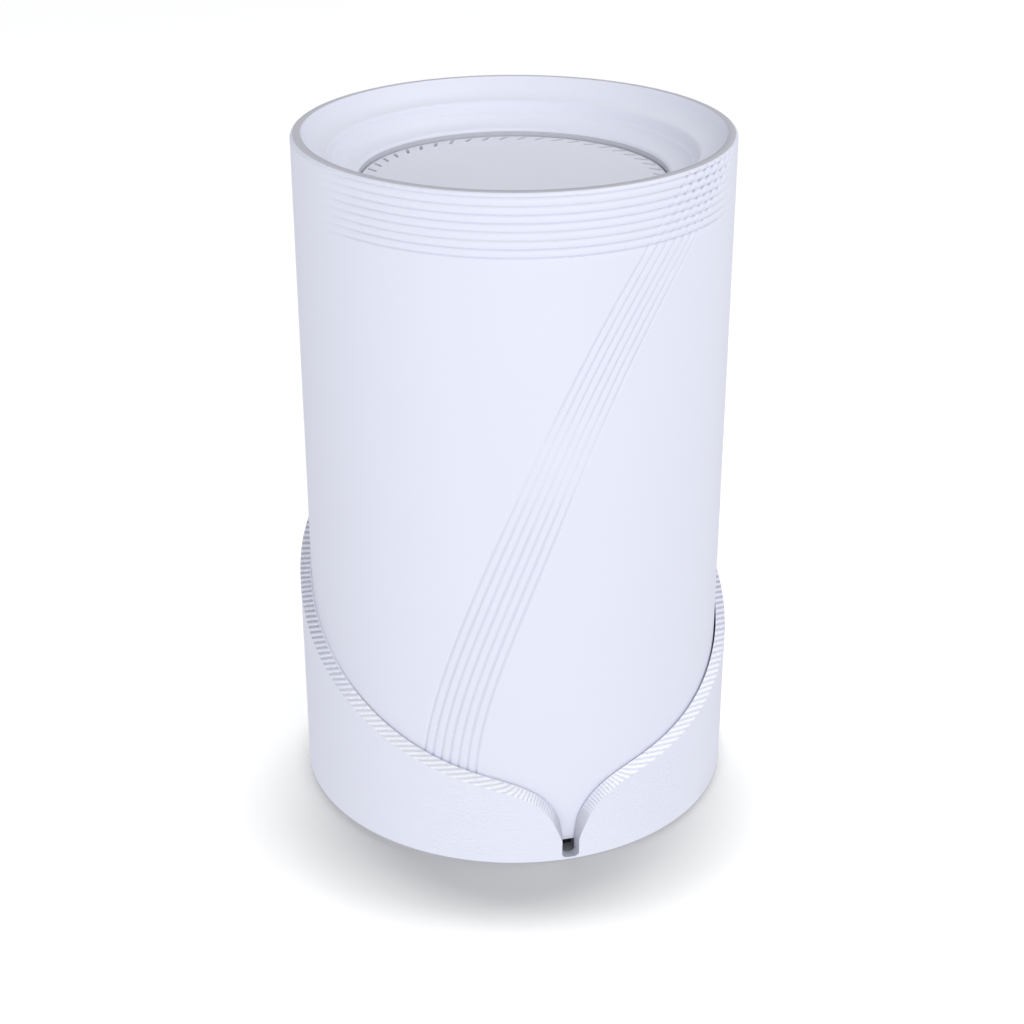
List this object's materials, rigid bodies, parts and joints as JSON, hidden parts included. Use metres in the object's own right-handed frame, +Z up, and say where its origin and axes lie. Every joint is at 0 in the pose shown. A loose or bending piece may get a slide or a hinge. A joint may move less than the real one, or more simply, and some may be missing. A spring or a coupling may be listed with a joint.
{
  "type": "air purifier",
  "caption": "Compact cylindrical desktop air purifier: tall lift-off sleeve with fading grooves and a sunken top outlet, standing in a wave-edged skirt.",
  "frame": {"origin": "centre of the footprint on the table, on the sleeve's axis", "axes": "+Z up along the sleeve's axis; the front with the status window side faces -Y, +X is to the right seen from the front"},
  "size_m": [0.165, 0.165, 0.254],
  "materials": {
    "shell_white": "satin moulded shell",
    "inner_white": "satin moulded insert",
    "grille_white": "fine matt moulding",
    "base_grey": "plain moulded inner part",
    "fan_dark": "glass-filled black moulding",
    "lens_dark": "smoked clear plastic",
    "button_white": "satin button cap",
    "filter_cap": "moulded end cap",
    "filter_bail": "coloured pull bail",
    "filter_paper": "pleated fibre media",
    "carbon": "carbon-coated felt",
    "mesh_fabric": "fine woven pre-filter",
    "mesh_grey": "moulded grid",
    "foam": "open-cell foam",
    "soft_seal": "soft gasket",
    "foot_rubber": "soft pad",
    "steel": "drawn steel",
    "screw_steel": "plated screws",
    "iron_core": "stamped laminations",
    "copper": "enamelled copper wire",
    "magnet": "bonded ferrite",
    "bronze": "sintered bearing",
    "circuit_board": "solder-masked laminate",
    "chip_black": "moulded packages",
    "socket_cream": "connector housings",
    "can_aluminium": "drawn cans",
    "sensor_shell": "sensor housing",
    "lamp_clear": "clear lamp package"
  },
  "bodies": {
    "base": {"lower_skirt": "shell_white", "base_plate": "base_grey", "rubber_feet": "foot_rubber", "base_screws": "screw_steel", "intake_mesh": "mesh_grey", "fan_casing": "base_grey", "deck_seal": "soft_seal", "motor_bracket": "fan_dark", "tail_cone": "fan_dark", "motor_bearings": "bronze", "motor_stator": "iron_core", "motor_windings": "copper", "main_board": "circuit_board", "board_capacitors": "can_aluminium", "board_chips": "chip_black", "board_connectors": "socket_cream", "board_inductor": "chip_black", "board_screws": "screw_steel", "light_board": "circuit_board", "status_led": "lamp_clear", "status_lens": "lens_dark", "power_inlet": "fan_dark", "inlet_pin": "steel", "switch_board": "circuit_board", "tact_switch": "chip_black", "air_sensor": "sensor_shell"},
    "fan_rotor": {"impeller": "fan_dark", "rotor_can": "steel", "magnet_ring": "magnet", "motor_shaft": "steel"},
    "filter": {"filter_bottom_cap": "filter_cap", "filter_top_cap": "filter_cap", "pleated_media": "filter_paper", "carbon_layer": "carbon", "prefilter_mesh": "mesh_fabric", "filter_core": "base_grey", "filter_seal": "soft_seal"},
    "filter_handle": {"filter_handle": "filter_bail"},
    "sleeve": {"upper_sleeve": "shell_white", "outlet_funnel": "inner_white", "outlet_grille": "grille_white", "funnel_screws": "screw_steel", "foam_ring": "foam"},
    "power_button": {"power_button": "button_white"}
  },
  "joints": [
    {"name": "fan_spin", "type": "hinge", "parent": "base", "child": "fan_rotor", "pos_m": [0, 0, 0.05], "axis": [0, 0, 1], "continuous": true},
    {"name": "sleeve_lift", "type": "slide", "parent": "base", "child": "sleeve", "axis": [0, 0, 1], "range_m": [0, 0.2]},
    {"name": "filter_lift", "type": "slide", "parent": "base", "child": "filter", "axis": [0, 0, 1], "range_m": [0, 0.01]},
    {"name": "handle_flip", "type": "hinge", "parent": "filter", "child": "filter_handle", "pos_m": [0, -0.014, 0.1884], "axis": [1, 0, 0], "range_deg": [0, 85]},
    {"name": "power_press", "type": "slide", "parent": "base", "child": "power_button", "axis": [-0.309, -0.9511, 0], "range_m": [0, 0.0012], "stiffness_N_per_m": 1200, "springref_m": -0.0004}
  ]
}
